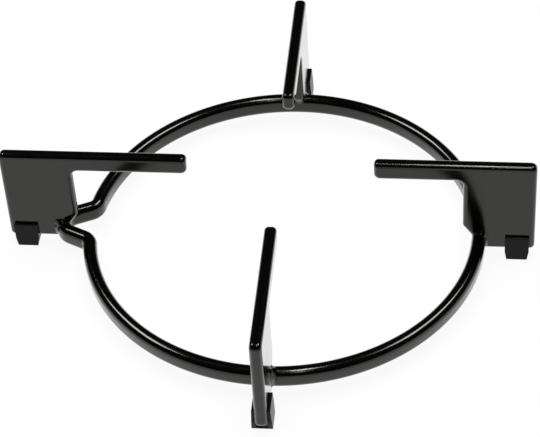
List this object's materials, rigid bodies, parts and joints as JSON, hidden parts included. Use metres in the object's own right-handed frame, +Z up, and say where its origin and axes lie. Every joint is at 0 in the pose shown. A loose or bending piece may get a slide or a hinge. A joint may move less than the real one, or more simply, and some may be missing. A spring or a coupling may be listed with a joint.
{
  "type": "burner pan support",
  "caption": "Small gas burner pan support: a glossy black enamelled bar ring with plate fingers on rubber feet, one finger longer.",
  "frame": {"origin": "the burner's axis, which is the ring's, at the level of the hob that the feet stand on", "axes": "+Z up; +X along the finger opposite the longer one; the longer finger and the ring's loop are at -X"},
  "size_m": [0.2116, 0.2, 0.048],
  "materials": {
    "black_enamel": "gloss",
    "rubber_foot": "satin"
  },
  "bodies": {
    "root": {"ring": "black_enamel", "finger_right": "black_enamel", "finger_rear": "black_enamel", "finger_left": "black_enamel", "finger_front": "black_enamel", "foot_right": "rubber_foot", "foot_rear": "rubber_foot", "foot_left": "rubber_foot", "foot_front": "rubber_foot"}
  },
  "joints": []
}
